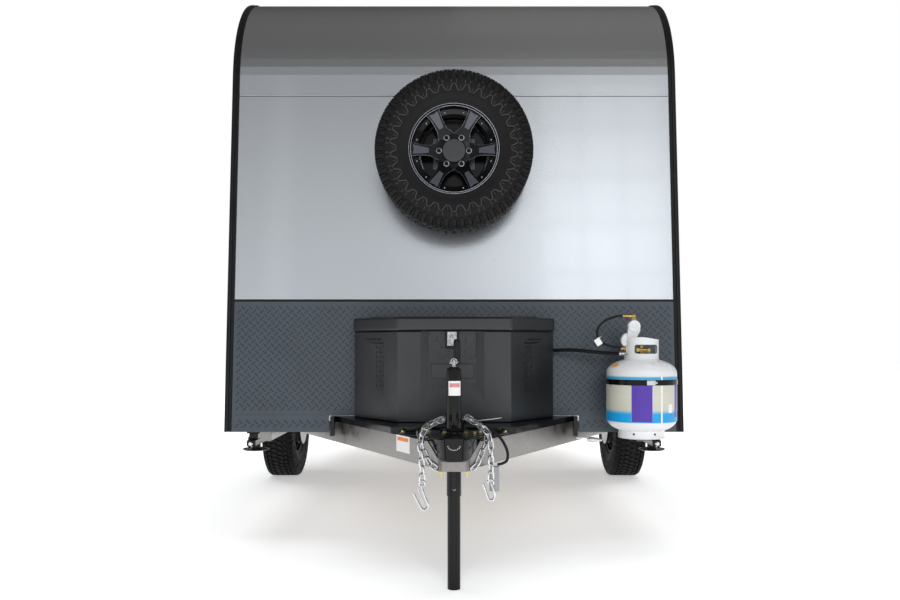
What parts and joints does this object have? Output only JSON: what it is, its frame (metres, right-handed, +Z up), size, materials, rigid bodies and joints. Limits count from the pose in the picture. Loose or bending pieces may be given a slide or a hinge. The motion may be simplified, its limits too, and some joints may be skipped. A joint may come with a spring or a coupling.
{
  "type": "travel trailer",
  "caption": "Small two-wheel travel trailer with rounded nose, A-frame drawbar, tongue jack, tool box, gas bottle, spare wheel, opening doors and a hollow cabin.",
  "frame": {"origin": "on the ground, at the middle of the trailer's length and width", "axes": "-Y towards the coupler, +Z up from the ground, entry door on the -X side"},
  "size_m": [2.645, 4.64, 2.87],
  "materials": {
    "silver_skin": "satin metallic silver",
    "roof_skin": "satin light grey",
    "floor_board": "coated plywood",
    "black_trim": "satin black",
    "tread_plate": "charcoal tread plate",
    "black_steel": "semi-gloss black powder coat",
    "tinted_glass": "dark tint",
    "mill_aluminium": "mill finish",
    "black_plastic": "grained black",
    "zinc_steel": "zinc plated",
    "white_paint": "gloss white",
    "brass_fittings": "bright brass",
    "black_rubber": "satin",
    "grey_plastic": "moulded",
    "black_rim": "gloss black with machined lines",
    "tyre_rubber": "matt",
    "red_lens": "clear red lens",
    "white_plastic": "white",
    "cabin_board": "light laminate",
    "grey_fabric": "woven"
  },
  "bodies": {
    "trailer": {"front_wall": "silver_skin", "nose_panel": "silver_skin", "roof": "roof_skin", "rear_wall": "silver_skin", "side_wall_left": "silver_skin", "side_wall_right": "silver_skin", "cabin_floor": "floor_board", "edge_trims": "black_trim", "tread_plates": "tread_plate", "fenders": "black_steel", "side_windows": "tinted_glass", "drawbar": "mill_aluminium", "frame_rails": "mill_aluminium", "cross_members": "mill_aluminium", "coupler": "black_steel", "tongue_tray": "black_steel", "tool_box": "black_plastic", "jack_tube": "black_steel", "jack_crank": "zinc_steel", "gas_bottle": "white_paint", "bottle_valve": "brass_fittings", "bottle_bracket": "black_steel", "gas_hoses": "black_rubber", "plug_cable": "black_rubber", "cable_plug": "grey_plastic", "safety_chains": "zinc_steel", "axle_beam": "black_steel", "stabilizers": "black_steel", "spare_carrier": "black_steel", "spare_rim": "black_rim", "spare_tyre": "tyre_rubber", "tail_lights": "red_lens", "rear_bumper": "black_steel", "vent_base": "white_plastic", "bunk": "cabin_board", "mattress": "grey_fabric", "galley": "cabin_board"},
    "vent_lid": {"vent_lid": "white_plastic"},
    "box_lid": {"box_lid": "black_plastic"},
    "jack_leg": {"jack_leg": "black_steel"},
    "entry_door": {"entry_door": "silver_skin", "door_glass": "tinted_glass"},
    "rear_door": {"rear_door": "silver_skin"},
    "wheel_left": {"rim_left": "black_rim", "tyre_left": "tyre_rubber"},
    "wheel_right": {"rim_right": "black_rim", "tyre_right": "tyre_rubber"}
  },
  "joints": [
    {"name": "entry_door_hinge", "type": "hinge", "parent": "trailer", "child": "entry_door", "pos_m": [-1.092, -0.626, 1.47], "axis": [0, 0, 1], "range_deg": [0, 110]},
    {"name": "rear_door_hinge", "type": "hinge", "parent": "trailer", "child": "rear_door", "pos_m": [0.4065, 2.282, 1.17], "axis": [0, 0, -1], "range_deg": [0, 110]},
    {"name": "box_lid_hinge", "type": "hinge", "parent": "trailer", "child": "box_lid", "pos_m": [0, -1.418, 1.004], "axis": [-1, 0, 0], "range_deg": [0, 80]},
    {"name": "vent_lid_hinge", "type": "hinge", "parent": "trailer", "child": "vent_lid", "pos_m": [0, 0.334, 2.836], "axis": [1, 0, 0], "range_deg": [0, 70]},
    {"name": "jack_slide", "type": "slide", "parent": "trailer", "child": "jack_leg", "axis": [0, 0, 1], "range_m": [0, 0.33]},
    {"name": "wheel_left_spin", "type": "hinge", "parent": "trailer", "child": "wheel_left", "pos_m": [1.205, 0.68, 0.3635], "axis": [1, 0, 0], "continuous": true},
    {"name": "wheel_right_spin", "type": "hinge", "parent": "trailer", "child": "wheel_right", "pos_m": [-1.205, 0.68, 0.3635], "axis": [1, 0, 0], "continuous": true}
  ]
}
